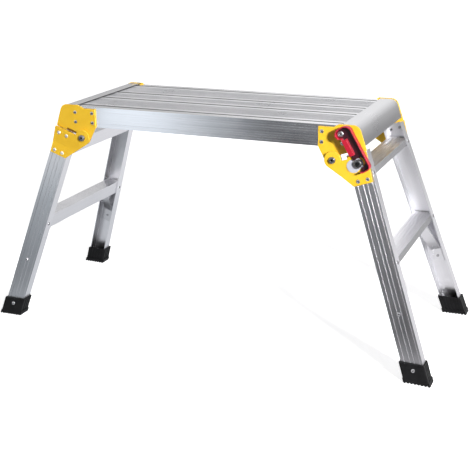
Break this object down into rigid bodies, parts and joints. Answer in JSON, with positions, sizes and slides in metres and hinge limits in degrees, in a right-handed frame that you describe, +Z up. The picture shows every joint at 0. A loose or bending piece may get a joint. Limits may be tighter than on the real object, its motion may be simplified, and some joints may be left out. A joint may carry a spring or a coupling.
{
  "type": "mini work platform",
  "caption": "Folding aluminium work platform: ribbed deck on two splayed leg frames with level steps, yellow hinge plates, red latches and black rubber feet.",
  "frame": {"origin": "On the floor under the middle of the deck.", "axes": "+X along the deck to the right end, -Y is the front side seen in the picture, +Z up."},
  "size_m": [1.0394, 0.4202, 0.5078],
  "materials": {
    "aluminium": "mill-finish extrusion",
    "yellow_paint": "satin powder coat",
    "red_paint": "satin powder coat",
    "black_rubber": "matt moulded",
    "bright_steel": "zinc plated",
    "pale_plastic": "matt moulded"
  },
  "bodies": {
    "platform": {"cross_member_1": "aluminium", "cross_member_2": "aluminium", "cross_member_3": "aluminium", "cross_member_4": "aluminium", "cross_member_5": "aluminium", "cross_member_rivets": "bright_steel", "deck_hinge_plate_front_left": "yellow_paint", "deck_hinge_plate_front_right": "yellow_paint", "deck_hinge_plate_rear_left": "yellow_paint", "deck_hinge_plate_rear_right": "yellow_paint", "deck_plank_front": "aluminium", "deck_plank_middle": "aluminium", "deck_plank_rear": "aluminium", "deck_plate_rivets": "bright_steel", "deck_stile_front": "aluminium", "deck_stile_rear": "aluminium", "end_nosing_left": "aluminium", "end_nosing_right": "aluminium", "latch_studs": "bright_steel", "leg_pivot_bolts": "bright_steel", "leg_pivot_nuts": "bright_steel", "leg_pivot_spacers": "bright_steel", "nosing_rivets": "bright_steel", "plank_rivets": "bright_steel"},
    "right_leg": {"right_leg_brace_front": "aluminium", "right_leg_brace_rear": "aluminium", "right_leg_brace_rivets": "bright_steel", "right_leg_foot_front": "black_rubber", "right_leg_foot_rear": "black_rubber", "right_leg_foot_rivets": "bright_steel", "right_leg_hinge_plate_front": "yellow_paint", "right_leg_hinge_plate_rear": "yellow_paint", "right_leg_lock_pad": "pale_plastic", "right_leg_lock_pin": "bright_steel", "right_leg_plate_rivets": "bright_steel", "right_leg_rung_rivets": "bright_steel", "right_leg_step": "aluminium", "right_leg_stile_front": "aluminium", "right_leg_stile_rear": "aluminium", "right_leg_top_rung": "aluminium"},
    "left_leg": {"left_leg_brace_front": "aluminium", "left_leg_brace_rear": "aluminium", "left_leg_brace_rivets": "bright_steel", "left_leg_foot_front": "black_rubber", "left_leg_foot_rear": "black_rubber", "left_leg_foot_rivets": "bright_steel", "left_leg_hinge_plate_front": "yellow_paint", "left_leg_hinge_plate_rear": "yellow_paint", "left_leg_lock_pad": "pale_plastic", "left_leg_lock_pin": "bright_steel", "left_leg_plate_rivets": "bright_steel", "left_leg_rung_rivets": "bright_steel", "left_leg_step": "aluminium", "left_leg_stile_front": "aluminium", "left_leg_stile_rear": "aluminium", "left_leg_top_rung": "aluminium"},
    "right_latch": {"right_latch_lever": "red_paint"},
    "left_latch": {"left_latch_lever": "red_paint"}
  },
  "joints": [
    {"name": "right_leg_fold", "type": "hinge", "parent": "platform", "child": "right_leg", "pos_m": [0.29, 0, 0.435], "axis": [0, 1, 0], "range_deg": [0, 119]},
    {"name": "left_leg_fold", "type": "hinge", "parent": "platform", "child": "left_leg", "pos_m": [-0.29, 0, 0.435], "axis": [0, -1, 0], "range_deg": [0, 105]},
    {"name": "right_latch_swing", "type": "hinge", "parent": "platform", "child": "right_latch", "pos_m": [0.307, -0.16, 0.49], "axis": [0, -1, 0], "range_deg": [-6, 12]},
    {"name": "left_latch_swing", "type": "hinge", "parent": "platform", "child": "left_latch", "pos_m": [-0.307, 0.16, 0.482], "axis": [0, 1, 0], "range_deg": [-6, 12]}
  ]
}
